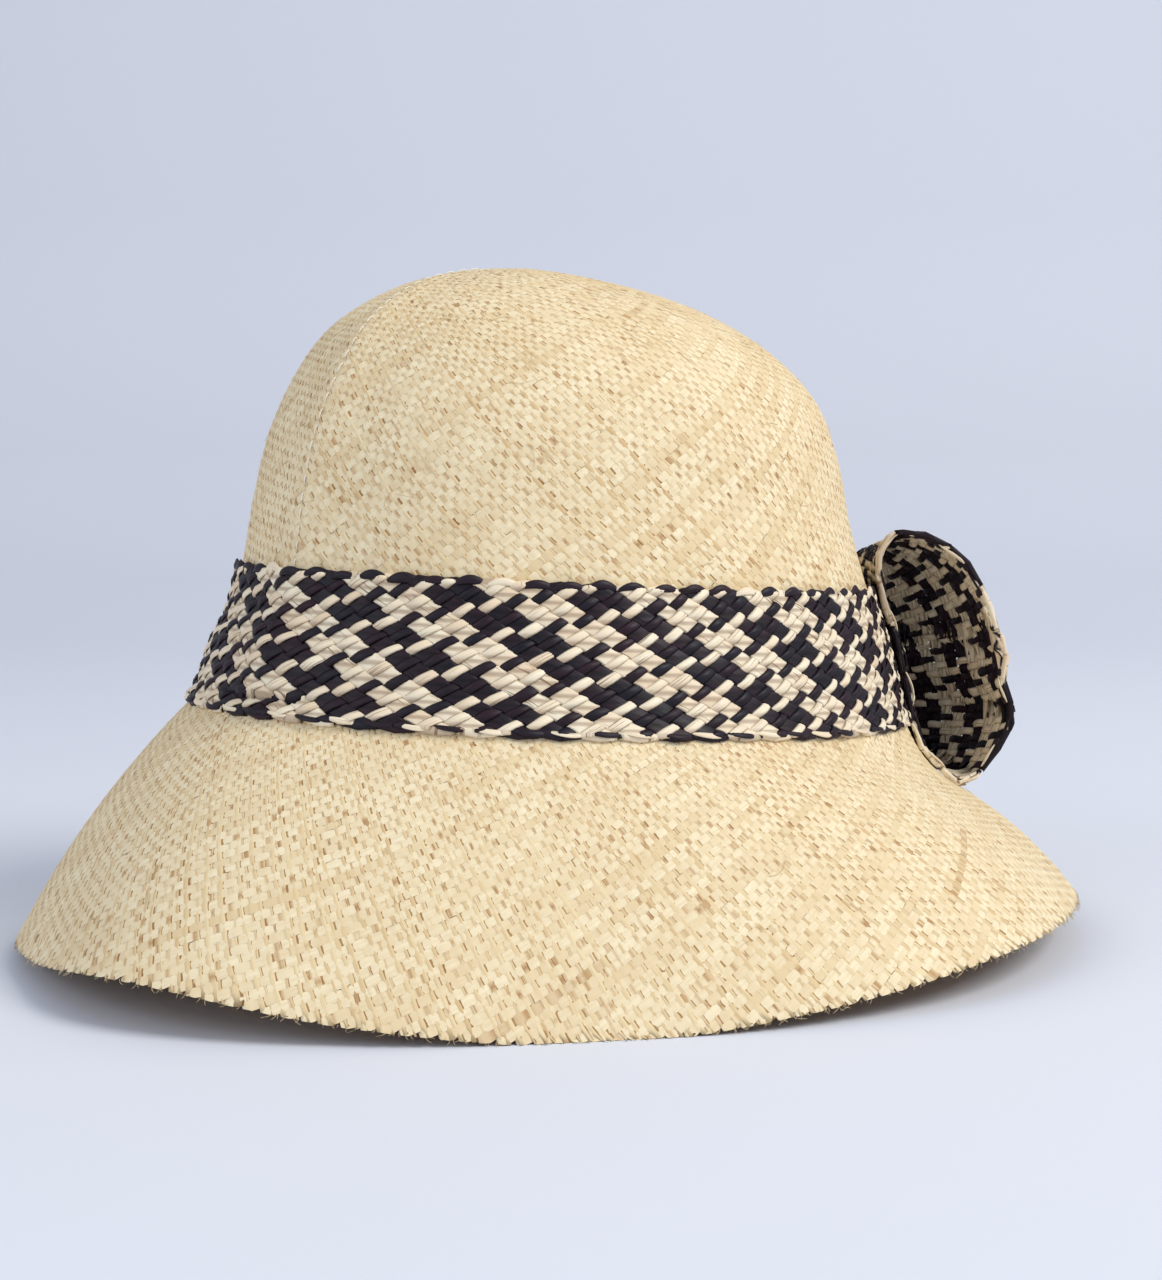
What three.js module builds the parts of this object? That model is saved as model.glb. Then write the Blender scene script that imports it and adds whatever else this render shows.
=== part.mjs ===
// A woman's sun hat of woven raffia: one blocked hood (crown and brim in a single wall),
// a wide plaited band round the foot of the crown, and a standing loop of the same plait
// at the back.
//
// Millimetres, +Z up. The hat rests on its brim: z = 0 is the floor. The front of the hat
// faces -Y, the wearer's left is +X. Angles round the hat start at the front and grow
// towards the wearer's left.
import * as THREE from 'three';

// ---- driving dimensions ------------------------------------------------------------
const WALL = 1.6;            // the raffia wall of crown and brim
const GAP = 0.5;             // clearance between the hood and what is wrapped round it
const BAND_THICK = 2.2;      // the plait, one strand over another
const BAND_TOP = 32;         // upper edge of the band, above its foot
const BAND_FOOT_REACH = 6;   // how far the band's lower edge runs out on to the brim
const EDGE_ROUND = 0.45;     // share of the plait's thickness lost at its two edges

const TILT_BACK = 3.4;       // the hat sits nose up on its rim by this angle, degrees
const TILT_RIGHT = 0.5;      // and leans to the wearer's right by this one
const SETTLE = 0.9;          // how much of the rim's lowest waves is pressed flat

const FOLD_ANGLE = 15;       // the soft fold down the crown, left of the centre front
const FOLD_HALF_ANGLE = 7;   // its half width round the crown, degrees
const FOLD_RISE = 2.2;       // how far it stands out of the crown

const FOOT_SLOPE = 66;       // the wall's slope where crown turns into brim, degrees

const AROUND = 96;           // facets round the hat
const CROWN_STEPS = 8;       // facet rows from the tip of the crown to the band
const BAND_STEPS = 5;        // facet rows under the band
const BRIM_STEPS = 7;        // facet rows from the band to the rim

// Level sections of the crown, from the tip down to its foot: oval half axes and how far
// the oval lies behind the middle of the foot.
const CROWN_ROWS = [
  { height: 116, halfLength: 0, halfWidth: 0, back: -17 },
  { height: 113, halfLength: 25, halfWidth: 21.5, back: -15 },
  { height: 107, halfLength: 45.5, halfWidth: 38.5, back: -10.5 },
  { height: 97, halfLength: 63, halfWidth: 53, back: -7 },
  { height: 84, halfLength: 75, halfWidth: 62.5, back: -4 },
  { height: 68, halfLength: 82, halfWidth: 68, back: -3.5 },
  { height: 51, halfLength: 86, halfWidth: 71, back: -3 },
  { height: 34, halfLength: 90, halfWidth: 74.5, back: -1 },
  { height: 20, halfLength: 94, halfWidth: 78, back: 0.5 },
  { height: 10, halfLength: 98, halfWidth: 81, back: 0 },
  { height: 0, halfLength: 101, halfWidth: 84, back: 0 },
];

// The brim every 22.5 degrees round the hat: mean droop below the level, width measured
// on the straw, how much steeper it is at the rim than at the foot, and the share of the
// width in which the crown's slope eases out into the brim.
const BRIM_ROWS = [
  { angle: 0, droop: 54, reach: 84, curl: 18, neck: 0.11 },
  { angle: 22.5, droop: 47, reach: 85, curl: 12, neck: 0.11 },
  { angle: 45, droop: 53, reach: 85, curl: 8, neck: 0.11 },
  { angle: 67.5, droop: 57, reach: 84, curl: 10, neck: 0.11 },
  { angle: 90, droop: 50, reach: 81, curl: 12, neck: 0.12 },
  { angle: 112.5, droop: 39, reach: 78, curl: 18, neck: 0.26 },
  { angle: 135, droop: 33, reach: 74, curl: 32, neck: 0.42 },
  { angle: 157.5, droop: 30, reach: 73, curl: 44, neck: 0.48 },
  { angle: 180, droop: 34, reach: 74, curl: 48, neck: 0.36 },
  { angle: 202.5, droop: 40, reach: 75, curl: 42, neck: 0.24 },
  { angle: 225, droop: 47, reach: 79, curl: 28, neck: 0.14 },
  { angle: 247.5, droop: 48, reach: 81, curl: 16, neck: 0.11 },
  { angle: 270, droop: 46, reach: 83, curl: 10, neck: 0.11 },
  { angle: 292.5, droop: 52, reach: 84, curl: 8, neck: 0.11 },
  { angle: 315, droop: 58, reach: 84, curl: 14, neck: 0.11 },
  { angle: 337.5, droop: 56, reach: 85, curl: 20, neck: 0.11 },
];

// The standing loop of plait at the back: a ring of it, seen from the side, out from the
// foot of the crown and up from it. It climbs the band, stands free, bends over and comes
// back along the brim. Its far edge is drawn in towards the band, so it opens like a bell
// towards the wearer's left.
const LOOP_NEAR_ANGLE = 152;
const LOOP_FAR_ANGLE = 180;
const LOOP_STEPS = 40;
const LOOP_CLIMB_HEIGHTS = [10, 22, 33];
const CLIMB_SLACK = 0.8;     // what the loop's bend lifts it off the band
const LOOP_FREE_ROWS = [
  { out: -6.5, up: 44 },
  { out: -1, up: 48.5 },
  { out: 9, up: 46.5 },
  { out: 18, up: 39.5 },
  { out: 25, up: 26 },
  { out: 29.5, up: 12 },
  { out: 32, up: -3 },
];
const LOOP_SEAT_ROWS = [
  { share: 0.43, clear: 2 },
  { share: 0.3, clear: 1 },
  { share: 0.16, clear: 1.2 },
];
const FAR_REACH = 0.5;       // how far the far edge stands out, as a share of the near one
const FAR_HEIGHT = 0.75;     // its height likewise
const LOOP_MIDDLE_UP = 18;   // the height it is drawn in towards

const STRAW = new THREE.MeshStandardMaterial({ color: 0xdcc99b, roughness: 0.75, metalness: 0 });
const PLAIT = new THREE.MeshStandardMaterial({ color: 0x6f6558, roughness: 0.6, metalness: 0 });

// ---- small helpers -----------------------------------------------------------------
const radians = THREE.MathUtils.degToRad;

// Catmull-Rom through four numbers, t from 0 at b to 1 at c.
function catmull(a, b, c, d, t) {
  const t2 = t * t;
  const t3 = t2 * t;
  return 0.5 * (2 * b + (c - a) * t + (2 * a - 5 * b + 4 * c - d) * t2 + (3 * b - a - 3 * c + d) * t3);
}

// One named column of a closed table, read at a place given in rows.
function closedColumn(rows, name, place) {
  const count = rows.length;
  const row = Math.floor(place);
  const value = (k) => rows[((row + k) % count + count) % count][name];
  return catmull(value(-1), value(0), value(1), value(2), place - row);
}

// The crown's table carried one row past each end: mirrored over the tip, so the tip is
// smooth, and a little wider below the foot, where the wall flares into the brim.
const tipMirror = { ...CROWN_ROWS[1], halfLength: -CROWN_ROWS[1].halfLength, halfWidth: -CROWN_ROWS[1].halfWidth };
const belowFoot = { height: -10, halfLength: 107, halfWidth: 90, back: 0 };
const crownTable = [tipMirror, ...CROWN_ROWS, belowFoot];

function crownColumn(name, place) {
  const row = Math.min(Math.floor(place), CROWN_ROWS.length - 2);
  const [a, b, c, d] = crownTable.slice(row, row + 4).map((entry) => entry[name]);
  return catmull(a, b, c, d, place - row);
}

const foot = CROWN_ROWS[CROWN_ROWS.length - 1];

// Level unit vector out of the foot's oval.
function footNormal(angle) {
  return new THREE.Vector3(Math.sin(angle) / foot.halfWidth, -Math.cos(angle) / foot.halfLength, 0).normalize();
}

function footPoint(angle) {
  return new THREE.Vector3(foot.halfWidth * Math.sin(angle), -foot.halfLength * Math.cos(angle), 0);
}

// How far the fold stands out: a smooth hump round FOLD_ANGLE that dies out at the tip.
function foldRise(angle, place) {
  const turn = THREE.MathUtils.euclideanModulo(THREE.MathUtils.radToDeg(angle) - FOLD_ANGLE + 180, 360) - 180;
  const across = Math.exp(-((turn / FOLD_HALF_ANGLE) ** 2));
  const down = THREE.MathUtils.smoothstep(place, 0, 2);
  return FOLD_RISE * across * down;
}

function crownPoint(angle, place) {
  const rise = foldRise(angle, place);
  return new THREE.Vector3(
    (crownColumn('halfWidth', place) + rise) * Math.sin(angle),
    crownColumn('back', place) - (crownColumn('halfLength', place) + rise) * Math.cos(angle),
    crownColumn('height', place),
  );
}

// The brim's section at one angle: out from the foot and down from it, at a share of the
// reach, found by adding up short steps that turn from FOOT_SLOPE to droop + curl / 2.
const SECTION_PARTS = 48;
function brimSection(angle, share) {
  const place = THREE.MathUtils.radToDeg(angle) / (360 / BRIM_ROWS.length);
  const droop = closedColumn(BRIM_ROWS, 'droop', place);
  const reach = closedColumn(BRIM_ROWS, 'reach', place);
  const curl = closedColumn(BRIM_ROWS, 'curl', place);
  const neck = closedColumn(BRIM_ROWS, 'neck', place);
  const excess = FOOT_SLOPE - (droop - curl / 2);
  let out = 0;
  let down = 0;
  for (let k = 0; k < SECTION_PARTS; k += 1) {
    const middle = share * (k + 0.5) / SECTION_PARTS;
    const easing = 1 - THREE.MathUtils.smoothstep(middle, 0, neck);
    const slope = radians(droop + curl * (middle - 0.5) + excess * easing);
    out += Math.cos(slope) * share * reach / SECTION_PARTS;
    down += Math.sin(slope) * share * reach / SECTION_PARTS;
  }
  return { out, down };
}

function brimPoint(angle, share) {
  const { out, down } = brimSection(angle, share);
  const point = footPoint(angle).addScaledVector(footNormal(angle), out);
  point.z = -down;
  return point;
}

// The hood's outer face. place runs from 0 at the tip to FOOT_PLACE at the foot and on to
// FOOT_PLACE + 1 at the rim.
const FOOT_PLACE = CROWN_ROWS.length - 1;
function hoodPoint(angle, place) {
  if (place <= FOOT_PLACE) return crownPoint(angle, Math.max(place, 0));
  return brimPoint(angle, Math.min(place - FOOT_PLACE, 1));
}

function hoodNormal(angle, place) {
  const turn = 0.01;
  const step = 0.02;
  const high = Math.max(place - step, 0.001);
  const low = Math.min(place + step, FOOT_PLACE + 1);
  const across = hoodPoint(angle + turn, place).sub(hoodPoint(angle - turn, place));
  const along = hoodPoint(angle, low).sub(hoodPoint(angle, high));
  return along.cross(across).normalize();
}

// From the hat's own frame, in which the foot of the crown is level, to the frame in which
// it rests on the floor.
const restTurn = new THREE.Matrix4().makeRotationFromEuler(
  new THREE.Euler(-radians(TILT_BACK), -radians(TILT_RIGHT), 0),
);

function angleAt(index) {
  return 2 * Math.PI * index / AROUND;
}

// The rim gives the hat its overall size, so it also gives the middle and the floor.
const rimBox = new THREE.Box3();
for (let i = 0; i < AROUND; i += 1) {
  rimBox.expandByPoint(brimPoint(angleAt(i), 1).applyMatrix4(restTurn));
}
const rimMiddle = rimBox.getCenter(new THREE.Vector3());
const toFloor = new THREE.Vector3(-rimMiddle.x, -rimMiddle.y, -rimBox.min.z - SETTLE);

function toRest(point) {
  const placed = point.clone().applyMatrix4(restTurn).add(toFloor);
  placed.z = Math.max(placed.z, 0);
  return placed;
}

// ---- meshes ------------------------------------------------------------------------
function meshFrom(name, points, faces, material) {
  const geometry = new THREE.BufferGeometry();
  geometry.setAttribute('position', new THREE.Float32BufferAttribute(points.flatMap((p) => [p.x, p.y, p.z]), 3));
  geometry.setIndex(faces.flat());
  geometry.computeVertexNormals();
  const mesh = new THREE.Mesh(geometry, material);
  mesh.name = name;
  return mesh;
}

// Two triangles for each cell of a grid of rows, each row closed on itself.
function ringFaces(rowStarts, count) {
  const faces = [];
  for (let r = 0; r + 1 < rowStarts.length; r += 1) {
    for (let i = 0; i < count; i += 1) {
      const next = (i + 1) % count;
      const a = rowStarts[r] + i;
      const b = rowStarts[r] + next;
      const c = rowStarts[r + 1] + next;
      const d = rowStarts[r + 1] + i;
      faces.push([a, d, c], [a, c, b]);
    }
  }
  return faces;
}

// Where on the hood the band's two edges lie.
function placeAtHeight(height) {
  let low = 0;
  let high = FOOT_PLACE;
  for (let k = 0; k < 40; k += 1) {
    const middle = (low + high) / 2;
    if (crownColumn('height', middle) > height) low = middle;
    else high = middle;
  }
  return high;
}
const BAND_START = placeAtHeight(BAND_TOP);
const BAND_END = FOOT_PLACE + BAND_FOOT_REACH / foot.halfWidth;

// Places of the facet rows. The rows under the band are the band's own rows too, so the
// two walls run side by side with the same clearance everywhere.
const bandPlaces = Array.from(
  { length: BAND_STEPS + 1 },
  (_, k) => BAND_START + (BAND_END - BAND_START) * k / BAND_STEPS,
);

function hoodPlaces() {
  const places = [];
  for (let k = 1; k < CROWN_STEPS; k += 1) places.push(BAND_START * k / CROWN_STEPS);
  places.push(...bandPlaces);
  for (let k = 1; k <= BRIM_STEPS; k += 1) {
    places.push(BAND_END + (FOOT_PLACE + 1 - BAND_END) * k / BRIM_STEPS);
  }
  return places;
}

function makeHood() {
  const places = hoodPlaces();
  const outer = (i, place) => toRest(hoodPoint(angleAt(i), place));
  const inner = (i, place) => {
    const angle = angleAt(i);
    return toRest(hoodPoint(angle, place).addScaledVector(hoodNormal(angle, place), -WALL));
  };
  // The rim is cut level: its inner edge lies as high as its outer edge.
  const innerRim = (i) => {
    const angle = angleAt(i);
    const edge = outer(i, FOOT_PLACE + 1);
    const above = inner(i, FOOT_PLACE + 0.97);
    const below = toRest(hoodPoint(angle, FOOT_PLACE + 0.97));
    const inward = above.clone().sub(below);
    inward.z = 0;
    const slope = Math.max(inward.length(), WALL * 0.6);
    return edge.clone().add(inward.normalize().multiplyScalar(WALL * WALL / slope));
  };
  const points = [toRest(hoodPoint(0, 0))];
  const starts = [];
  const addRow = (make) => {
    starts.push(points.length);
    for (let i = 0; i < AROUND; i += 1) points.push(make(i));
  };
  places.forEach((place) => addRow((i) => outer(i, place)));
  addRow(innerRim);
  places.slice(0, -1).reverse().forEach((place) => addRow((i) => inner(i, place)));
  const tipInside = hoodPoint(0, 0);
  tipInside.z -= WALL;
  points.push(toRest(tipInside));
  const faces = ringFaces(starts, AROUND);
  const last = points.length - 1;
  const lastRow = starts[starts.length - 1];
  for (let i = 0; i < AROUND; i += 1) {
    const next = (i + 1) % AROUND;
    faces.push([0, starts[0] + i, starts[0] + next], [last, lastRow + next, lastRow + i]);
  }
  return meshFrom('hat_body', points, faces, STRAW);
}

// The plait's thickness at a share of its width, a little less at its two edges.
function plaitThickness(share) {
  return BAND_THICK * (1 - EDGE_ROUND * Math.abs(2 * share - 1) ** 6);
}

function makeBand() {
  const points = [];
  const starts = [];
  const addRow = (row, clear) => {
    const place = bandPlaces[row];
    starts.push(points.length);
    for (let i = 0; i < AROUND; i += 1) {
      const angle = angleAt(i);
      points.push(toRest(hoodPoint(angle, place).addScaledVector(hoodNormal(angle, place), clear)));
    }
  };
  for (let k = 0; k <= BAND_STEPS; k += 1) addRow(k, GAP + plaitThickness(k / BAND_STEPS));
  for (let k = BAND_STEPS; k >= 0; k -= 1) addRow(k, GAP);
  starts.push(starts[0]);
  return meshFrom('hat_band', points, ringFaces(starts, AROUND), PLAIT);
}

// A point given by its angle round the hat and its place in that section, out and up.
function sectionPoint(angle, section) {
  const point = footPoint(angle).addScaledVector(footNormal(angle), section.x);
  point.z = section.y;
  return toRest(point);
}

// The plait's centre line where it lies on the brim, at a share of the brim's reach.
function seatPoint(angle, share, clear) {
  const here = brimSection(angle, share);
  const next = brimSection(angle, share + 0.01);
  const normal = new THREE.Vector2(next.down - here.down, next.out - here.out).normalize();
  const offset = clear + BAND_THICK / 2;
  return { out: here.out + normal.x * offset, up: -here.down + normal.y * offset };
}

// How far out of the foot the plait's centre line runs where it climbs the band.
function climbOut(angle, height) {
  const wall = crownPoint(angle, placeAtHeight(height)).sub(footPoint(angle));
  return wall.dot(footNormal(angle)) + 2 * GAP + 1.5 * BAND_THICK + CLIMB_SLACK;
}

// The loop's closed centre line at a share of its width, 0 at the near edge, 1 at the far.
function loopRows(angle, share) {
  const drawn = share ** 1.5;
  const reach = 1 - (1 - FAR_REACH) * drawn;
  const height = 1 - (1 - FAR_HEIGHT) * drawn;
  const climb = LOOP_CLIMB_HEIGHTS.map((up) => ({ out: climbOut(angle, up), up }));
  const base = climb[climb.length - 1].out;
  const free = LOOP_FREE_ROWS.map((row) => ({
    out: base + (row.out - base) * reach,
    up: LOOP_MIDDLE_UP + (row.up - LOOP_MIDDLE_UP) * height,
  }));
  const seat = LOOP_SEAT_ROWS.map((row) => seatPoint(angle, row.share * (0.3 + 0.7 * reach), row.clear));
  return [...climb, ...free, ...seat];
}

const ACROSS_SHARES = [0, 0.15, 0.4, 0.7, 0.9, 1];

// One line of the loop along its ring: sign -1 for its outer face, 1 for its inner one.
function loopLine(share, sign) {
  const angle = radians(LOOP_NEAR_ANGLE + (LOOP_FAR_ANGLE - LOOP_NEAR_ANGLE) * share);
  const rows = loopRows(angle, share);
  const at = (t) => new THREE.Vector2(
    closedColumn(rows, 'out', t * rows.length),
    closedColumn(rows, 'up', t * rows.length),
  );
  const half = sign * plaitThickness(share) / 2;
  const step = 0.002;
  const line = [];
  for (let k = 0; k < LOOP_STEPS; k += 1) {
    const t = k / LOOP_STEPS;
    const along = at(t + step).sub(at(t - step)).normalize();
    const side = new THREE.Vector2(-along.y, along.x);
    line.push(sectionPoint(angle, at(t).addScaledVector(side, half)));
  }
  return line;
}

function makeLoop() {
  const points = [];
  const starts = [];
  const addLine = (line) => {
    starts.push(points.length);
    points.push(...line);
  };
  ACROSS_SHARES.forEach((share) => addLine(loopLine(share, -1)));
  [...ACROSS_SHARES].reverse().forEach((share) => addLine(loopLine(share, 1)));
  starts.push(starts[0]);
  return meshFrom('bow_loop', points, ringFaces(starts, LOOP_STEPS), PLAIT);
}

const sunHat = new THREE.Group();
sunHat.add(makeHood(), makeBand(), makeLoop());

export default sunHat;
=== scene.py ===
# %% [markdown]
# # A woven sun hat
# The hat is made of raffia, a palm leaf torn into soft flat strips. Crown and brim are one
# woven cloth, blocked to shape over a wooden form. Round the foot of the crown runs a wide
# plait of black and natural strips, and a loop of the same plait stands at the back.
# Everything woven is woven here too: real strips of mesh that pass over and under each
# other, because at this size a picture of a weave looks flat and its gaps cast no shadow.
# Lengths are worked out in millimetres and turned into metres when a mesh is made.

import bpy
import numpy as np
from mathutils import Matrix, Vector


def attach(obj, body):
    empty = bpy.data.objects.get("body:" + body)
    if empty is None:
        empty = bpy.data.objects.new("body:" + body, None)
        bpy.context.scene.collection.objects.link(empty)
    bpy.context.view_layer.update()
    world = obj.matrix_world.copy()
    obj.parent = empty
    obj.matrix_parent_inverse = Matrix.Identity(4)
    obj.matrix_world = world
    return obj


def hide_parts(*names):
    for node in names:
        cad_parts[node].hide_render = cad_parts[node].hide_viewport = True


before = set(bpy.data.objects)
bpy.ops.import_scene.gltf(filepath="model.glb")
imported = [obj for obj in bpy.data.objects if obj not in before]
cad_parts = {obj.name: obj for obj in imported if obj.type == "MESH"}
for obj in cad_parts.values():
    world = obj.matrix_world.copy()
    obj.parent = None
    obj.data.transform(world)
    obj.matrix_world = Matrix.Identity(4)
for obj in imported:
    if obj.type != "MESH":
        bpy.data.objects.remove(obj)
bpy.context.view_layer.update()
MM = 0.001  # metres
print("CAD nodes:", sorted(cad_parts))

# %% [markdown]
# ## The hood's shape
# The same named sizes as the solid model's: oval level sections for the crown, and for the
# brim a section every 22.5 degrees. One function of two numbers gives the whole surface:
# the angle round the hat, and a place that runs from 0 at the tip over 10 at the foot of
# the crown to 11 at the rim. Working it out once on a fine grid makes it quick to read.

# %% The hood's tables
CROWN_ROWS = np.array([  # height, half length, half width, how far back
    (116, 0, 0, -17), (113, 25, 21.5, -15), (107, 45.5, 38.5, -10.5), (97, 63, 53, -7),
    (84, 75, 62.5, -4), (68, 82, 68, -3.5), (51, 86, 71, -3), (34, 90, 74.5, -1),
    (20, 94, 78, 0.5), (10, 98, 81, 0), (0, 101, 84, 0),
])
BRIM_ROWS = np.array([  # droop, reach, curl, neck, every 22.5 degrees from the front
    (54, 84, 18, 0.11), (47, 85, 12, 0.11), (53, 85, 8, 0.11), (57, 84, 10, 0.11),
    (50, 81, 12, 0.12), (39, 78, 18, 0.26), (33, 74, 32, 0.42), (30, 73, 44, 0.48),
    (34, 74, 48, 0.36), (40, 75, 42, 0.24), (47, 79, 28, 0.14), (48, 81, 16, 0.11),
    (46, 83, 10, 0.11), (52, 84, 8, 0.11), (58, 84, 14, 0.11), (56, 85, 20, 0.11),
])
BRIM_ROW_ANGLE = 360 / len(BRIM_ROWS)  # degrees
BELOW_FOOT = (-10, 107, 90, 0)  # one more oval, which sets the slope at the foot
FOOT = 10  # place of the foot of the crown
RIM = 11  # place of the rim
FOOT_LENGTH, FOOT_WIDTH = 101, 84  # half axes of the foot's oval
FOOT_SLOPE = 66  # how steep the brim starts, degrees
FOLD_ANGLE, FOLD_HALF_ANGLE = 15, 7  # the fold down the front of the crown, degrees
FOLD_RISE = 2.2  # mm
TILT_BACK, TILT_RIGHT = np.radians(3.4), np.radians(0.5)
SETTLE = 0.9  # how much of the rim's lowest waves is pressed flat, mm

ANGLES = np.linspace(0, 2 * np.pi, 721)
BRIM_SHARES = np.linspace(0, 1, 145)
PLACES = np.concatenate([np.linspace(0, FOOT, 420)[:-1], FOOT + BRIM_SHARES])
print("surface grid:", len(ANGLES), "angles by", len(PLACES), "places")


# %% Reading a smooth curve through a table's rows
def catmull(rows, place):
    """Catmull-Rom: half of 2b + (c-a)t + (2a-5b+4c-d)t^2 + (3b-a-3c+d)t^3."""
    row = np.floor(place).astype(int)
    t = (place - row)[..., None]
    a, b, c, d = (rows[(row + k) % len(rows)] for k in (-1, 0, 1, 2))
    square = (2 * a - 5 * b + 4 * c - d) * t**2
    cube = (3 * b - a - 3 * c + d) * t**3
    return 0.5 * (2 * b + (c - a) * t + square + cube)


def smoothstep(value, low, high):
    """3t^2 - 2t^3 between low and high."""
    t = np.clip((value - low) / (high - low), 0, 1)
    return t * t * (3 - 2 * t)


# %% The crown, seen as a stack of ovals
def crown_points(angle, place):
    """Oval of the row at place, pushed out by a bell curve round the fold's angle."""
    past_tip = CROWN_ROWS[1] * (1, -1, -1, 1)
    table = np.vstack([past_tip, CROWN_ROWS, BELOW_FOOT])
    row = np.minimum(place, FOOT - 1e-9) + 1
    height, length, width, back = np.moveaxis(catmull(table, row), -1, 0)
    turn = (np.degrees(angle) - FOLD_ANGLE + 180) % 360 - 180
    rise = FOLD_RISE * np.exp(-((turn / FOLD_HALF_ANGLE) ** 2)) * smoothstep(place, 0, 2)
    x = (width + rise) * np.sin(angle)
    y = back - (length + rise) * np.cos(angle)
    return np.stack(np.broadcast_arrays(x, y, height), -1)


# %% The brim, seen as a fan of sections
def brim_sections(angle):
    """Out and down: running sums of the cosine and sine of the slope at each share."""
    row = np.degrees(angle) / BRIM_ROW_ANGLE
    droop, reach, curl, neck = np.moveaxis(catmull(BRIM_ROWS, row), -1, 0)[..., None]
    middle = (BRIM_SHARES[1:] + BRIM_SHARES[:-1]) / 2
    easing = 1 - smoothstep(middle, 0, neck)
    slope = np.radians(droop + curl * (middle - 0.5) + (FOOT_SLOPE - droop + curl / 2) * easing)
    step = reach / (len(BRIM_SHARES) - 1)
    start = np.zeros((len(angle), 1))
    out = np.hstack([start, np.cumsum(np.cos(slope) * step, 1)])
    down = np.hstack([start, np.cumsum(np.sin(slope) * step, 1)])
    return out, down


def foot_direction(angle):
    """Level unit vector out of the foot's oval."""
    x, y = np.sin(angle) / FOOT_WIDTH, -np.cos(angle) / FOOT_LENGTH
    return np.stack([x, y, 0 * x], -1) / np.hypot(x, y)[..., None]


def foot_points(angle):
    """The foot's oval: half width times sine, minus half length times cosine."""
    return np.stack([FOOT_WIDTH * np.sin(angle), -FOOT_LENGTH * np.cos(angle), 0 * angle], -1)


def brim_points(angle):
    """The foot's point, moved out along its direction and down."""
    out, down = brim_sections(angle)
    level = foot_points(angle)[:, None] + foot_direction(angle)[:, None] * out[..., None]
    return level - down[..., None] * (0, 0, 1)


# %% The grid of points, and how the hat rests on the floor
crown = crown_points(ANGLES[:, None], PLACES[None, PLACES < FOOT])
hood = np.concatenate([crown, brim_points(ANGLES)], 1)

cos_b, sin_b = np.cos(TILT_BACK), np.sin(TILT_BACK)
cos_r, sin_r = np.cos(TILT_RIGHT), np.sin(TILT_RIGHT)
REST_TURN = np.array([(1, 0, 0), (0, cos_b, sin_b), (0, -sin_b, cos_b)]) @ np.array(
    [(cos_r, 0, -sin_r), (0, 1, 0), (sin_r, 0, cos_r)]
)
rim_facets = hood[:-1, -1] @ REST_TURN.T
rim_low, rim_high = rim_facets.min(0), rim_facets.max(0)
rim_middle = (rim_low + rim_high) / 2
TO_FLOOR = np.array([-rim_middle[0], -rim_middle[1], -rim_low[2] - SETTLE])


def to_rest(points):
    """Turn by the two tilts, move over the floor, and press flat what would go below it."""
    placed = points @ REST_TURN.T + TO_FLOOR
    placed[..., 2] = np.maximum(placed[..., 2], 0)
    return placed


def unit(vectors):
    """Each vector divided by its length."""
    return vectors / np.maximum(np.linalg.norm(vectors, axis=-1, keepdims=True), 1e-12)


HOOD = to_rest(hood)
around = np.roll(HOOD[:-1], -1, 0) - np.roll(HOOD[:-1], 1, 0)
around = np.concatenate([around, around[:1]])
HOOD_NORMAL = unit(np.cross(np.gradient(HOOD, axis=1), around))
HOOD_NORMAL[:, 0] = REST_TURN @ (0, 0, 1)
print("hood spans", HOOD.reshape(-1, 3).min(0).round(1), HOOD.reshape(-1, 3).max(0).round(1))


# %% Reading the grid anywhere
def read_grid(table, angle, place):
    """Straight-line mix of the four grid values round (angle, place)."""
    a = (angle / (2 * np.pi)) % 1 * (len(ANGLES) - 1)
    i = np.minimum(a.astype(int), len(ANGLES) - 2)
    s = (a - i)[..., None]
    p = np.interp(place, PLACES, np.arange(len(PLACES)))
    j = np.minimum(p.astype(int), len(PLACES) - 2)
    t = (p - j)[..., None]
    near = table[i, j] * (1 - t) + table[i, j + 1] * t
    far = table[i + 1, j] * (1 - t) + table[i + 1, j + 1] * t
    return near * (1 - s) + far * s


FLOOR_MIDDLE, FLOOR_LOWEST = 0.14, 0.02  # mm: where the cloth's strands lie on the floor


def on_hood(angle, place, lift):
    """The surface point plus its normal times lift, held above the floor in the same order."""
    angle, place, lift = np.broadcast_arrays(angle, place, lift)
    point = read_grid(HOOD, angle, place) + read_grid(HOOD_NORMAL, angle, place) * lift[..., None]
    point[..., 2] = np.maximum(point[..., 2], np.maximum(FLOOR_MIDDLE + lift, FLOOR_LOWEST))
    return point


# %% [markdown]
# ## From arrays to meshes
# A strip is a run of small closed sections, each the same few points, joined section to
# section and capped at both ends. All strips of one piece are one array: strip, section,
# point in the section, coordinate. Two maps go with it. One lies along the strip in
# millimetres and carries its fibres; the other lays every strip out side by side.

# %% The faces between sections
rng = np.random.default_rng(7)  # one seed for every random draw


def strip_faces(strips, sections, corners):
    """Four-sided faces between neighbour sections, and one cap at each end of a strip."""
    index = np.arange(strips * sections * corners).reshape(strips, sections, corners)
    after = np.roll(index, -1, 2)
    quads = np.stack([index[:, :-1], after[:, :-1], after[:, 1:], index[:, 1:]], -1)
    caps = np.concatenate([index[:, 0, ::-1], index[:, -1]])
    return quads.reshape(-1, 4), caps


def outward(points, quads, caps):
    """Reverses every face if six times the enclosed volume comes out negative."""
    a, b, c, d = (points[quads[:, k]] for k in range(4))
    volume = np.sum(np.cross(a, b) * c) + np.sum(np.cross(a, c) * d)
    return (quads, caps) if volume > 0 else (quads[:, ::-1], caps[:, ::-1])


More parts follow.
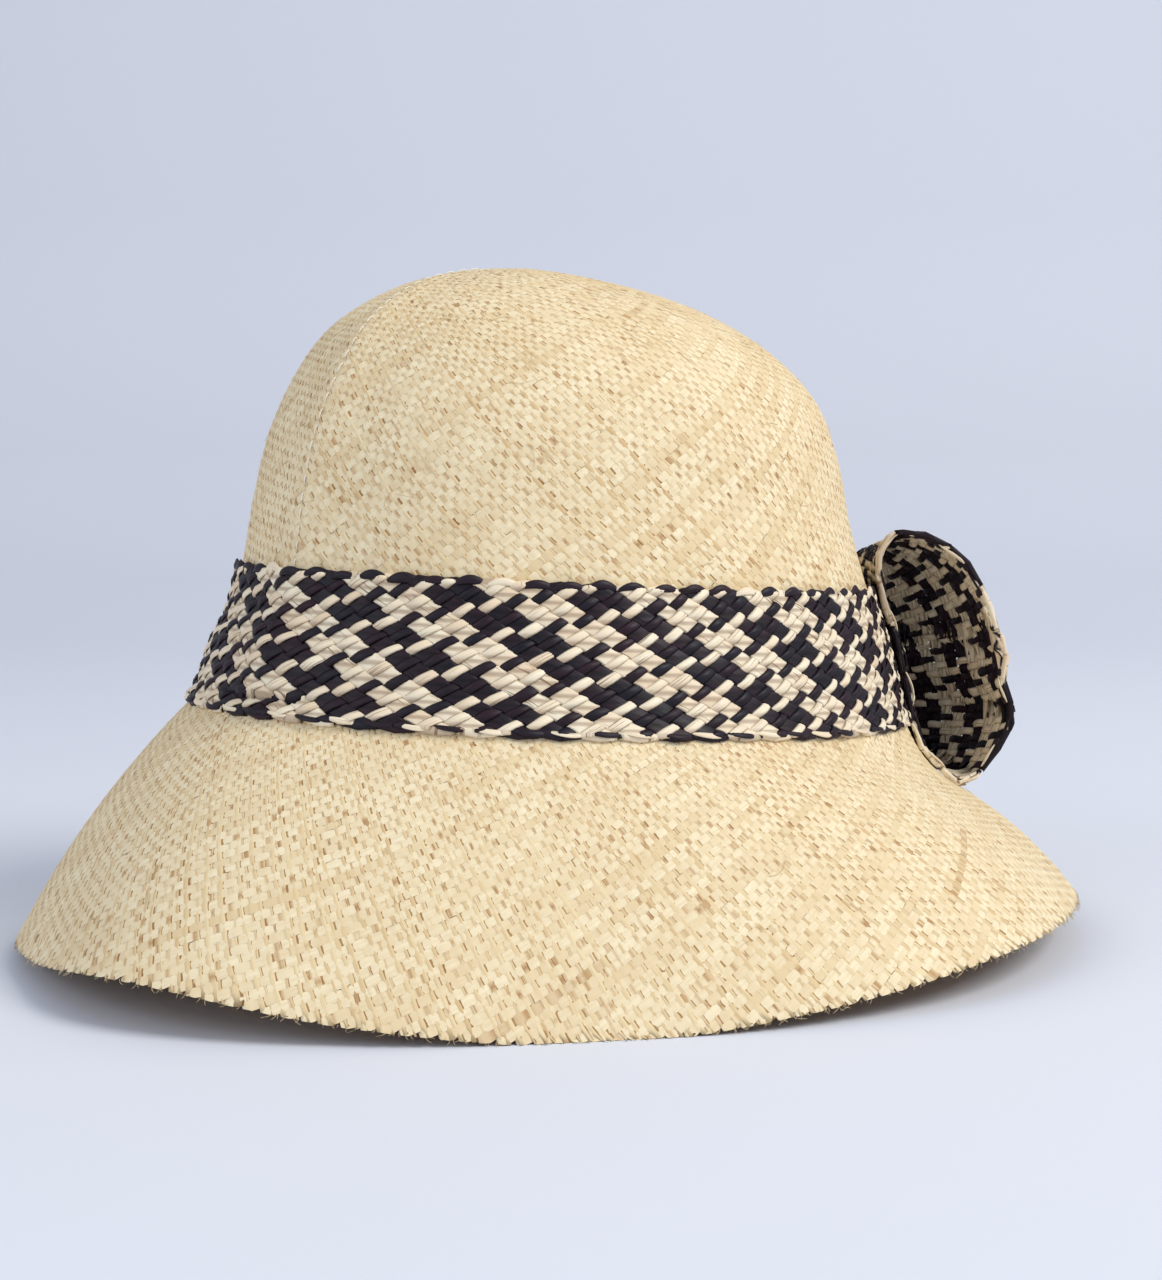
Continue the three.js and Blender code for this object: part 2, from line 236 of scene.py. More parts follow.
# %% A flat layout with a place for every face
CELL_START, CELL_LENGTH = 0.01, 0.94  # a strip's run along its cell
CELL_EDGE, CELL_WIDTH = 0.04, 0.92  # and its sides across the cell
LANE_LOW, LANE_HIGH = 0.08, 0.92  # one side in its lane
CAP_PLACE, CAP_STEP = 0.965, 0.02  # the two end caps, along the cell
CAP_LENGTH, CAP_WIDTH = 0.008, 0.35


def bake_layout(strips, sections, corners, flipped):
    """Each strip gets a cell of its own in the unit square, each side of it a lane there."""
    columns = max(1, int(np.sqrt(strips * corners / sections)))
    rows = -(-strips // columns)
    strip, section, side = np.meshgrid(
        np.arange(strips), np.arange(sections - 1), np.arange(corners), indexing="ij"
    )
    u = section[..., None] + np.array([0.0, 0, 1, 1])
    v = side[..., None] + np.array([LANE_LOW, LANE_HIGH, LANE_HIGH, LANE_LOW])
    u = (strip[..., None] // rows + CELL_START + CELL_LENGTH * u / (sections - 1)) / columns
    v = (strip[..., None] % rows + CELL_EDGE + CELL_WIDTH * v / corners) / rows
    quads = np.stack([u, v], -1).reshape(-1, 4, 2)
    turn = 2 * np.pi * np.arange(corners) / corners
    disc = np.stack([np.cos(turn), np.sin(turn)], -1) * (CAP_LENGTH / columns, CAP_WIDTH / rows)
    each = np.arange(2 * strips)
    middle = np.stack([
        (each % strips // rows + CAP_PLACE + CAP_STEP * (each // strips)) / columns,
        (each % strips % rows + 0.5) / rows,
    ], -1)
    caps = middle[:, None] + disc
    if flipped:
        quads, caps = quads[:, ::-1], caps[:, ::-1]
    return np.concatenate([quads.reshape(-1, 2), caps.reshape(-1, 2)])


# %% Where the fibres run, and which edges are creased
GRAIN_START = 400  # mm: every strip starts somewhere else in the grain
GRAIN_APART = 7.3  # and lies this far to the side of the last one


def fibre_places(sections):
    """Millimetres along the strip from a random start, and the share of the way across."""
    strips, count, corners = sections.shape[:3]
    step = np.linalg.norm(np.diff(sections.mean(2), axis=1), axis=-1)
    along = np.concatenate([np.zeros((strips, 1)), np.cumsum(step, 1)], 1)
    along = along + rng.uniform(0, GRAIN_START, (strips, 1))
    across = np.linspace(0, 1, corners) + GRAIN_APART * np.arange(strips)[:, None, None]
    return np.stack(np.broadcast_arrays(along[..., None], across), -1).reshape(-1, 2)


def crease(mesh, corners, creased):
    """An edge along a strip joins points whose numbers differ by the corners of a section."""
    ends = np.empty(2 * len(mesh.edges), np.int32)
    mesh.edges.foreach_get("vertices", ends)
    ends = ends.reshape(-1, 2)
    sharp = (np.abs(ends[:, 0] - ends[:, 1]) == corners) & np.isin(ends[:, 0] % corners, creased)
    mesh.attributes.new("sharp_edge", "BOOLEAN", "EDGE").data.foreach_set("value", sharp)


# %% The mesh of one piece
def strip_mesh(name, sections, tone, fleck_and_shade, strip_material=0, side_material=0, creased=()):
    """One mesh from sections (strip, section, corner, xyz in mm).

    Tone and fleck_and_shade are values per strip and section; the second carries brown flecks
    and painted shade. A face's material is the strip's number
    plus the number of its side; creased names the corners that are sharp.
    """
    strips, count, corners = sections.shape[:3]
    points = sections.reshape(-1, 3)
    plain_quads, plain_caps = strip_faces(strips, count, corners)
    quads, caps = outward(points, plain_quads, plain_caps)
    mesh = bpy.data.meshes.new(name)
    mesh.vertices.add(len(points))
    mesh.vertices.foreach_set("co", (points * MM).astype(np.float32).ravel())
    loops = np.concatenate([quads.ravel(), caps.ravel()])
    cap_starts = 4 * len(quads) + np.arange(len(caps)) * corners
    starts = np.concatenate([np.arange(len(quads)) * 4, cap_starts])
    mesh.loops.add(len(loops))
    mesh.loops.foreach_set("vertex_index", loops.astype(np.int32))
    mesh.polygons.add(len(starts))
    mesh.polygons.foreach_set("loop_start", starts.astype(np.int32))
    mesh.polygons.foreach_set("use_smooth", np.ones(len(starts), bool))
    of_strip = np.broadcast_to(strip_material, strips)
    of_quad = of_strip[:, None, None] + np.broadcast_to(side_material, (count - 1, corners))
    of_quad = np.broadcast_to(of_quad, (strips, count - 1, corners)).ravel()
    finish = np.concatenate([of_quad, np.tile(of_strip, 2)])
    mesh.polygons.foreach_set("material_index", finish.astype(np.int32))
    mesh.update(calc_edges=True)
    crease(mesh, corners, creased)
    fibre = fibre_places(sections)[loops]
    mesh.uv_layers.new(name="fibre").data.foreach_set("uv", fibre.astype(np.float32).ravel())
    layout = bake_layout(strips, count, corners, quads[0, 0] != plain_quads[0, 0])
    mesh.uv_layers.new(name="OFBake").data.foreach_set("uv", layout.astype(np.float32).ravel())
    for title, amount in (("tone", tone), ("fleck_and_shade", fleck_and_shade)):
        values = np.repeat(np.broadcast_to(amount, (strips, count)).reshape(-1), corners)
        attribute = mesh.attributes.new(title, "FLOAT", "POINT")
        attribute.data.foreach_set("value", values.astype(np.float32))
    print(f"{name}: {strips} strips, {2 * len(quads) + len(caps) * (corners - 2)} triangles")
    return mesh


# %% A piece of the hat, and the drift that no strip is without
def place_piece(mesh, materials, slot_name, *stands_for):
    """An object at the origin, riding on the hat, with its materials; its record slot name is not
    used.
    """
    piece = bpy.data.objects.new(mesh.name, mesh)
    bpy.context.scene.collection.objects.link(piece)
    for material in materials:
        mesh.materials.append(material)
    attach(piece, "root")
    if stands_for:
        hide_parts(*stands_for)
    return piece


WAVE_STRETCHES = (1, 0.53, 2.1)  # of the three sines


def wander(strips, along, size, wave):
    """A smooth random drift: three sines along each strip with random phases, times half size."""
    phase = rng.uniform(0, 2 * np.pi, (3, strips, 1))
    waves = (
        np.sin(2 * np.pi * along / (wave * stretch) + phase[k])
        for k, stretch in enumerate(WAVE_STRETCHES)
    )
    return size * sum(waves) / 2


# %% [markdown]
# ## Finishes
# Raffia is a dry leaf: dull, a little silky along its fibres, paler where it is thick and
# browner where it is torn or old. The same brown is also painted as shade where a strip
# dives under another. One recipe serves the natural and the dyed strips. Two
# colours are mixed by the tone each strip carries, fine streaks run along the strip's own
# map, and the same streaks raise the surface a hair.

# %% A raffia finish
STREAK_RUN, SPLIT_RUN = 0.09, 0.06  # grain along a strip, per mm: long streaks
SPLIT_FINENESS = 2.2  # splits are this much finer across than streaks
BLOTCHES = (38, 38, 38)  # per metre
GRAIN_DEPTH = 0.0002  # metres
MIX_FACTOR, MIX_FIRST, MIX_SECOND = 0, 6, 7  # inputs of a Mix node that mixes colours
MIX_RESULT = 2  # its output


def raffia(name, pale, deep, fleck_and_shade, rough, gloss=0.3, bump=0.4, across_scale=3.0, split=0.0):
    """Mix(pale, deep, tone), then deep in blotches and streaks, and the fleck colour in splits,
    flecks and painted shade.
    """
    material = bpy.data.materials.new(name)
    material.use_nodes = True
    nodes, links = material.node_tree.nodes, material.node_tree.links
    shader = nodes["Principled BSDF"]

    def add(kind, **values):
        node = nodes.new(kind)
        for key, value in values.items():
            setattr(node, key, value)
        return node

    def noise(source, stretch, detail):
        mapping = add("ShaderNodeMapping")
        mapping.inputs["Scale"].default_value = stretch
        links.new(source, mapping.inputs["Vector"])
        texture = add("ShaderNodeTexNoise")
        texture.inputs["Scale"].default_value = 1
        texture.inputs["Detail"].default_value = detail
        links.new(mapping.outputs["Vector"], texture.inputs["Vector"])
        return texture.outputs["Fac"]

    def span(source, low, high, new_low, new_high):
        node = add("ShaderNodeMapRange")
        node.inputs["From Min"].default_value = low
        node.inputs["From Max"].default_value = high
        node.inputs["To Min"].default_value = new_low
        node.inputs["To Max"].default_value = new_high
        links.new(source, node.inputs["Value"])
        return node.outputs["Result"]

    def mix(factor, first, second):
        node = add("ShaderNodeMix", data_type="RGBA")
        for socket, value in ((MIX_FACTOR, factor), (MIX_FIRST, first), (MIX_SECOND, second)):
            if isinstance(value, bpy.types.NodeSocket):
                links.new(value, node.inputs[socket])
            else:
                node.inputs[socket].default_value = (*value, 1)
        return node.outputs[MIX_RESULT]

    fibre_map = add("ShaderNodeUVMap", uv_map="fibre").outputs["UV"]
    place = add("ShaderNodeTexCoord").outputs["Object"]
    tone = add("ShaderNodeAttribute", attribute_name="tone").outputs["Fac"]
    fleck_and_shade_amount = add("ShaderNodeAttribute", attribute_name="fleck_and_shade").outputs["Fac"]
    streaks = noise(fibre_map, (STREAK_RUN, across_scale, 1), 4)
    blotches = noise(place, BLOTCHES, 3)
    colour = mix(tone, pale, deep)
    colour = mix(span(blotches, 0.48, 0.78, 0, 0.4), colour, deep)
    colour = mix(span(streaks, 0.36, 0.60, 0.5, 0), colour, deep)
    if split:
        splits = noise(fibre_map, (SPLIT_RUN, SPLIT_FINENESS * across_scale, 1), 1)
        colour = mix(span(splits, 0.30, 0.36, split, 0), colour, fleck_and_shade)
    # flecks and painted shade: the fleck colour where the attribute asks for it
    colour = mix(span(fleck_and_shade_amount, 0.35, 1, 0, 0.9), colour, fleck_and_shade)
    links.new(colour, shader.inputs["Base Color"])
    links.new(span(streaks, 0.3, 0.7, rough + 0.08, rough - 0.06), shader.inputs["Roughness"])
    shader.inputs["Specular IOR Level"].default_value = gloss
    raised = add("ShaderNodeBump")
    raised.inputs["Strength"].default_value = bump
    raised.inputs["Distance"].default_value = GRAIN_DEPTH
    links.new(streaks, raised.inputs["Height"])
    links.new(raised.outputs["Normal"], shader.inputs["Normal"])
    return material


# %% The finishes: pale colour, deep colour, colour of flecks and painted shade, roughness
RIB = raffia("rib_raffia", (0.84, 0.70, 0.43), (0.66, 0.47, 0.24), (0.40, 0.20, 0.07), 0.62)
WEFT = raffia("weft_raffia", (0.88, 0.77, 0.53), (0.74, 0.58, 0.34), (0.46, 0.25, 0.09), 0.66)
# undersides of the ribs: painted shade with a painted warm glow of light through the straw
RIB_UNDERSIDE_SHADE = raffia("rib_underside_painted_shade", (0.80, 0.46, 0.17), (0.62, 0.31, 0.10), (0.28, 0.12, 0.04), 0.7)
# painted shadow in the gap beside each rib, where a weft dives under it
RIB_GAP_SHADOW = raffia(
    "rib_painted_gap_shadow", (0.46, 0.28, 0.12), (0.30, 0.16, 0.06), (0.25, 0.12, 0.04), 0.75,
)
# undersides of the wefts: painted shade with a painted warm glow of light through the straw
WEFT_UNDERSIDE_SHADE = raffia(
    "weft_underside_painted_shade", (0.84, 0.52, 0.21), (0.66, 0.35, 0.12), (0.28, 0.12, 0.04), 0.72,
)
PLAIT_GRAIN = {"bump": 0.6, "across_scale": 5.0, "split": 0.85}
NATURAL = raffia(
    "natural_strip", (0.89, 0.81, 0.62), (0.78, 0.62, 0.43), (0.22, 0.12, 0.06),
    0.5, 0.35, **PLAIT_GRAIN,
)
BLACK = raffia(
    "black_strip", (0.009, 0.010, 0.017), (0.026, 0.010, 0.016), (0.002, 0.002, 0.003),
    0.46, 0.22, **PLAIT_GRAIN,
)
THREAD = raffia("stitch_thread", (0.90, 0.87, 0.78), (0.75, 0.70, 0.58), (0.45, 0.40, 0.30), 0.7)
CLOTH_RIB = [RIB, RIB_UNDERSIDE_SHADE, RIB_GAP_SHADOW]
CLOTH_WEFT = [WEFT, WEFT_UNDERSIDE_SHADE]
print("finishes:", [m.name for m in (*CLOTH_RIB, *CLOTH_WEFT, NATURAL, BLACK, THREAD)])

# %% [markdown]
# ## The woven hood
# Thin stiff ribs and wide soft wefts cross nearly square and slant round the hat, like
# the threads of a screw. Written in strand numbers the cloth is simple: rib i and weft j
# cross at (i, j), and whichever is on top changes with every step. Two running angles say
# how far each family has turned round the hat at a place; they grow with the slant and
# with the logarithm of the circumference, which keeps the shape of the little cells. As
# the circle grows the cells grow, so a weaver adds strands at a few rings, and so does this
# script: nine zones on the crown, and one more from under the band to the rim.

# %% How far each family has turned
step_around = np.linalg.norm(np.diff(HOOD, axis=0), axis=2)
CIRCUMFERENCE = step_around.sum(0)
meridian_step = np.linalg.norm(np.diff(HOOD[:-1], axis=1), axis=2).mean(0)
middle_circle = np.maximum((CIRCUMFERENCE[1:] + CIRCUMFERENCE[:-1]) / 2, 1)
LEAN_PLACES = [0, 7, 8.5, 10, 11]  # the leans are in degrees from straight down
rib_lean = np.radians(np.interp(PLACES, LEAN_PLACES, [42, 42, 38, 31, 30]))
weft_lean = np.radians(np.interp(PLACES, LEAN_PLACES, [50, 50, 53, 57, 58]))


def running_turn(lean):
    """Sum of tan(lean) times two pi times the step down, over the circumference."""
    middle = np.tan((lean[1:] + lean[:-1]) / 2)
    return np.concatenate([[0], np.cumsum(middle * 2 * np.pi * meridian_step / middle_circle)])


RIB_TURN = running_turn(rib_lean)
WEFT_TURN = running_turn(weft_lean)
BOTH_TURN = RIB_TURN + WEFT_TURN
foot_round = CIRCUMFERENCE[np.searchsorted(PLACES, FOOT)]
print("circumference at foot and rim:", foot_round.round(), CIRCUMFERENCE[-1].round(), "mm")


# %% Strand numbers to the surface
def cloth(rib, weft, ribs, wefts, lift):
    """Both turns together are 2 pi (weft/wefts - rib/ribs); the angle is the rib's own turn."""
    both = 2 * np.pi * (weft / wefts - rib / ribs)
    place = np.interp(both, BOTH_TURN, PLACES)
    angle = 2 * np.pi * rib / ribs + np.interp(place, PLACES, RIB_TURN)
    return on_hood(angle, place, lift)


HAIR = 1e-3  # of a crossing: keeps two sections from falling on one place


def lattice_steps(start, length, spacing, offset):
    """Each strand's own start, then every multiple of spacing plus offset, then its end."""
    count = int(np.floor(length / spacing - HAIR))
    first = np.floor((start - offset) / spacing + 1e-6) * spacing + spacing + offset
    inside = first[:, None] + np.arange(count) * spacing
    return np.concatenate([start[:, None], inside, start[:, None] + length + HAIR], 1)


def on_top(run, number):
    """The cosine of pi (crossing + number): one where a strand is over, minus one under."""
    return np.cos(np.pi * (np.round(run) + number))


# %% The section of a rib and of a weft
RIB_WIDTH = 0.40  # of the space between ribs
WEFT_WIDTH = 1.08  # a little over one: neighbours overlap like shingles
RIB_RISE, WEFT_RISE = 0.06, 0.055  # how far they ride over and dive under, mm
RIB_TOP, RIB_EDGE, RIB_BASE = 0.135, -0.03, -0.06  # crest, edges and underside, mm
WEFT_TOP, WEFT_EDGE = 0.06, -0.04
RIB_FLANGE = 0.22  # reach of the painted gap shadow on one side, of the space between ribs
FLANGE_LEAST, FLANGE_MOST = 0.1, 2.6  # times that reach, different at every crossing
RIB_SIDES, RIB_CREASES = [0, 0, 2, 1], (0, 2, 3)  # pale, pale, painted gap shadow, painted underside shade
WEFT_SIDES, WEFT_CREASES = [0, 0, 1], (0, 2)  # pale, pale, painted underside shade

# %% Ribs
RIB_UNEVEN, EVERY_OTHER = 0.25, 0.25  # how stout: at random, and every other rib
STOUT_LEAST, STOUT_MOST = 0.5, 1.5
CREST_LEAST, CREST_MOST = 0.6, 1.3
OFF_PLACE = 0.12  # how far ribs stand off their even places, of the space between them
RIB_FLECKS = 0.13  # share of crossings with a fleck


def rib_strands(first, last, ribs, wefts, frayed):
    """Ribs run down the hat, one section at every weft they cross."""
    low, high = np.interp([first, last], PLACES, BOTH_TURN) / (2 * np.pi)
    low, high = low - frayed / wefts, high + frayed / wefts
    number = np.arange(ribs, dtype=float)[:, None]
    flip = (-1) ** number
    start = wefts * (number[:, 0] / ribs + low) + rng.uniform(-frayed, frayed, ribs)
    run = lattice_steps(start, wefts * (high - low), 1, 0)
    over = on_top(run, number)
    stout = np.exp(rng.normal(0, RIB_UNEVEN, (ribs, 1))) * (1 + EVERY_OTHER * flip)
    stout = np.clip(stout, STOUT_LEAST, STOUT_MOST)
    swell = 1 + wander(ribs, run, 0.12, 9) + rng.normal(0, 0.1, run.shape)
    spread = RIB_WIDTH / 2 * stout * swell
    middle = number + wander(ribs, run, 0.15, 14) + OFF_PLACE * (-1) ** (number // 2) * flip
    # the widened side carries the painted gap shadow
    flange = 1 + RIB_FLANGE / RIB_WIDTH * rng.uniform(FLANGE_LEAST, FLANGE_MOST, run.shape)
    side = np.array([-1, 0, 1, 1]) * np.where([0, 0, 0, 1], flange[..., None], 1)
    offsets = middle[..., None] + spread[..., None] * side
    lifts = (RIB_RISE * over + rng.normal(0, 0.015, run.shape))[..., None]
    crest = (RIB_TOP - RIB_EDGE) * np.clip(stout, CREST_LEAST, CREST_MOST)[..., None]
    lifts = lifts + np.array([RIB_EDGE, RIB_EDGE, RIB_EDGE, RIB_BASE])
    lifts = lifts + crest * np.array([0, 1, 0, 0])
    tone = np.clip(0.4 + rng.normal(0, 0.2, (ribs, 1)) + wander(ribs, run, 0.2, 23), 0, 1)
    fleck_and_shade = (rng.uniform(0, 1, run.shape) < RIB_FLECKS) * rng.uniform(0.5, 1, run.shape)
    return cloth(offsets, run[..., None], ribs, wefts, lifts), tone, fleck_and_shade


# %% Wefts
STAINED_WEFTS, STAIN = 0.035, 0.6  # share of wefts with a long stain, and its depth
TORN_PLACES, DEEPER_SHADE_PLACES = 0.05, 0.1  # shares of the sections: torn places, and places where the painted shade under a rib is deeper
PAINTED_SHADE_UNDER_RIB = 0.25  # painted shade: a weft is a little browner where it dives under a rib


def weft_strands(first, last, ribs, wefts, frayed):
    """Wefts have two sections at each rib, so they lie flat over it and dive between."""
    low, high = np.interp([first, last], PLACES, BOTH_TURN) / (2 * np.pi)
    low, high = low - frayed / ribs, high + frayed / ribs
    number = np.arange(wefts, dtype=float)[:, None]
    start = ribs * (number[:, 0] / wefts - high) + rng.uniform(-frayed, frayed, wefts)
    run = lattice_steps(start, ribs * (high - low), 0.5, 0.25)
    over = -on_top(run, number)
    swell = 1 + wander(wefts, run, 0.05, 8) + rng.normal(0, 0.03, run.shape)
    spread = WEFT_WIDTH / 2 * swell
    middle = number + wander(wefts, run, 0.05, 17)
    offsets = middle[..., None] + spread[..., None] * np.array([-1, 0, 1])
    lifts = (WEFT_RISE * over + rng.normal(0, 0.02, run.shape))[..., None]
    lifts = lifts + np.array([WEFT_EDGE, WEFT_TOP, WEFT_EDGE])
    tone = 0.3 + rng.normal(0, 0.2, (wefts, 1)) + wander(wefts, run, 0.3, 31)
    tone = tone + rng.normal(0, 0.12, run.shape)
    stained = rng.uniform(0, 1, (wefts, 1)) < STAINED_WEFTS
    stained = stained * (wander(wefts, run, 1, 60) > 0.5)
    torn = (rng.uniform(0, 1, run.shape) < TORN_PLACES) * rng.uniform(0.4, 0.9, run.shape)
    deeper_shade = (rng.uniform(0, 1, run.shape) < DEEPER_SHADE_PLACES) * rng.uniform(0.3, 0.75, run.shape)
    # painted shade where the weft dives under a rib, plus torn places and stains
    fleck_and_shade = (1 - over) / 2 * (PAINTED_SHADE_UNDER_RIB + deeper_shade) + torn + STAIN * stained
    points = cloth(run[..., None], offsets, ribs, wefts, lifts)
    return points, np.clip(tone, 0, 1), np.clip(fleck_and_shade, 0, 1)


# %% The zones of the crown
RIB_PITCH, WEFT_PITCH = 1.68, 1.91  # mm, in the middle of each zone
CROWN_CIRCLES = [24, 34, 48, 68, 96, 136, 190, 262, 352, 590]  # mm round, zone by zone
LARGEST_CIRCLE = 540  # the last zone is counted as if it ended here
FRAYED = 1.2  # how far a strand may run past its zone, in crossings
DOWN_TO_BAND = PLACES < 9.7  # the crown down to where the band hides it
circle_places = np.interp(CROWN_CIRCLES, CIRCUMFERENCE[DOWN_TO_BAND], PLACES[DOWN_TO_BAND])


def strand_counts(inner, outer):
    """The middle circle times the cosine of the lean, over the pitch; their sum is even."""
    middle = np.sqrt(inner * outer)
    place = np.interp(middle, CIRCUMFERENCE[DOWN_TO_BAND], PLACES[DOWN_TO_BAND])
    ribs = int(round(middle * np.cos(np.interp(place, PLACES, rib_lean)) / RIB_PITCH))
    wefts = int(round(middle * np.cos(np.interp(place, PLACES, weft_lean)) / WEFT_PITCH))
    return ribs, wefts + (ribs + wefts) % 2


for zone, (inner, outer) in enumerate(zip(CROWN_CIRCLES, CROWN_CIRCLES[1:])):
    counts = strand_counts(inner, min(outer, LARGEST_CIRCLE))
    ends = circle_places[zone], circle_places[zone + 1]
    zone_ribs = rib_strands(*ends, *counts, FRAYED)
    rib_mesh = strip_mesh(f"crown_ribs_{zone}", *zone_ribs, 0, RIB_SIDES, RIB_CREASES)
    zone_wefts = weft_strands(*ends, *counts, FRAYED)
    weft_mesh = strip_mesh(f"crown_wefts_{zone}", *zone_wefts, 0, WEFT_SIDES, WEFT_CREASES)
    place_piece(rib_mesh, CLOTH_RIB, "raffia_cloth")
    place_piece(weft_mesh, CLOTH_WEFT, "raffia_cloth")

# %% The star of strips at the very tip
STAR_STRIPS, STAR_REACH, STAR_HALF_WIDTH = 11, 5.5, 0.95  # mm
STAR_RISE = 0.05
NEAR_TIP = 200  # rows of the grid that the star can reach
number = np.arange(STAR_STRIPS)[:, None, None]
share = np.linspace(-1, 1, 9)[:, None]
turn = np.pi * number / STAR_STRIPS
across = STAR_HALF_WIDTH * np.array([-1, 0, 1, 0])
star_x = STAR_REACH * share * np.cos(turn) - across * np.sin(turn)
star_y = STAR_REACH * share * np.sin(turn) + across * np.cos(turn)
tip_radii = CIRCUMFERENCE[:NEAR_TIP] / (2 * np.pi)
star_place = np.interp(np.hypot(star_x, star_y), tip_radii, PLACES[:NEAR_TIP])
star_section = np.array([-0.04, 0.05, -0.04, -0.08])
star_lift = STAR_RISE * np.cos(np.pi * (number + 4 * share)) + star_section
star = on_hood(np.arctan2(star_x, -star_y), star_place, star_lift)
star_mesh = strip_mesh("crown_tip", star, rng.uniform(0.1, 0.6, (STAR_STRIPS, 1)), 0.15)
place_piece(star_mesh, [WEFT], "raffia_cloth")

# %% The cloth of the brim, one zone from under the band to the rim
BRIM_RIBS, BRIM_WEFTS, BRIM_START = 330, 200, 9.55
PALE_ENDS = 4  # steps of a weft, from the rim, whose underside is pale, without the painted underside shade
brim_ribs = rib_strands(BRIM_START, RIM, BRIM_RIBS, BRIM_WEFTS, 0)
brim_wefts = weft_strands(BRIM_START, RIM, BRIM_RIBS, BRIM_WEFTS, 0)
brim_rib_mesh = strip_mesh("brim_ribs", *brim_ribs, 0, RIB_SIDES, RIB_CREASES)
place_piece(brim_rib_mesh, CLOTH_RIB, "raffia_cloth")
brim_weft_sides = np.tile(WEFT_SIDES, (brim_wefts[0].shape[1] - 1, 1))
brim_weft_sides[:PALE_ENDS, 2] = 0  # so no painted underside shade shows where the floor flattens them
for half, stands_for in enumerate([["hat_body"], []]):
    every_other = [array[half::2] for array in brim_wefts]
    half_mesh = strip_mesh(
        f"brim_wefts_{half}", *every_other, 0, brim_weft_sides, WEFT_CREASES
    )
    place_piece(half_mesh, CLOTH_WEFT, "raffia_cloth", *stands_for)

# %% [markdown]
# ## The plait
# Two families of raffia strips cross slantwise. The strips of one family are narrow and
# arched, and ride over the broad flat strips of the other. In both, two natural strips
# follow two black ones, and that alone makes the toothed check of little pinwheels.
# At the edges the strips roll round to the back. A row of short arched folds lies over each
# edge, and gives the band its knobbly rim.

# %% Strips of a plait over any surface
BAND_LEANS = (1.40, 1.74)  # narrow and broad strips, mm along for each mm up
NARROW_RISE, BROAD_RISE = 0.66, 0.22  # mm
NARROW_FILL, BROAD_FILL = 0.95, 1.0  # width of a strip, of the space it has
EDGE_RADIUS = {"narrow": 0.55, "broad": 0.85}  # of the roll round the edge, mm
EDGE_ROLL = np.radians([30, 60, 90, 125, 160])
NARROW_SECTION = np.array([  # across, of the strip's space, and height in mm
    (-0.5, -0.10), (-0.3, 0.20), (0, 0.30), (0.3, 0.20), (0.5, -0.10), (0, -0.18),
])
BROAD_SECTION = np.array([
    (-0.5, -0.05), (-0.36, 0.16), (0, 0.19), (0.36, 0.16), (0.5, -0.05), (0, -0.14),
])
PAINTED_SHADE_UNDER_STRIP = 0.8  # painted shade: how brown a strip is where it is under another


def plait_family(kind, length, width, strips, others, leans, surface, per_crossing, arch):
    """x = length * number / strips plus or minus lean * y; height a cosine of the crossing."""
    narrow = kind == "narrow"
    sign = 1 if narrow else -1
    lean, other_lean = leans if narrow else leans[::-1]
    section = NARROW_SECTION if narrow else BROAD_SECTION
    rise = NARROW_RISE if narrow else BROAD_RISE
    radius = EDGE_RADIUS[kind]
    crossings = others * sum(leans) * width / length
    flat = np.linspace(-width / 2, width / 2, int(crossings * per_crossing) + 1)
    out, down = np.sin(EDGE_ROLL), 1 - np.cos(EDGE_ROLL)
    y = np.concatenate([flat[0] - radius * out[::-1], flat, flat[-1] + radius * out])
    drop = np.concatenate([down[::-1], 0 * flat, down]) * radius
    edge = np.concatenate([out[::-1], 0 * flat, out]) * np.sign(y)
    number = np.arange(strips)[:, None, None]
    across = section[:, 0] * (NARROW_FILL if narrow else BROAD_FILL)
    across = across * np.exp(0.06 * rng.normal(0, 1, (strips, 1, 1)))
    across = across * (1 + wander(strips, y[None], 0.06, 9))[..., None]
    across = across + wander(strips, y[None], 0.05, 13)[..., None]
    level = np.clip(y, flat[0], flat[-1])[None, :, None] + 0 * across
    x = length * (number + across) / strips + sign * lean * level
    other = others * (x + sign * other_lean * level) / length
    height = sign * rise * np.cos(np.pi * (other + number))
    height = height * np.cos(np.minimum(drop, 1) * 1.2)[None, :, None]
    bulge = arch * (1 - (2 * across) ** 2) + 0.5 * arch * across
    lift = height - drop[None, :, None] + section[:, 1] + rng.normal(0, 0.03, (strips, len(y), 1))
    points = surface(x, (y[None, :, None] + edge[None, :, None] * bulge) + 0 * x, lift)
    tone = 0.35 + rng.normal(0, 0.22, (strips, 1)) + wander(strips, y[None], 0.3, 11)
    # painted shade where a strip passes under another
    under = (1 - sign * np.cos(np.pi * (other[..., 0] + number[..., 0]))) / 2
    black = (np.arange(strips) % 4 >= 2).astype(int)
    return points, np.clip(tone, 0, 1), np.clip(under, 0, 1) * PAINTED_SHADE_UNDER_STRIP, black


# %% The folds along an edge
FOLD_START, FOLD_RUN = -0.12, 1.25  # of the space between folds: each laps over the last
FOLD_INSET = 0.7  # mm in from the edge
FOLD_ARCH, FOLD_SINK, FOLD_DIVE = 1.1, 0.4, 0.5  # mm
FOLD_FLATNESS = 0.42  # height of a fold's section, of its width


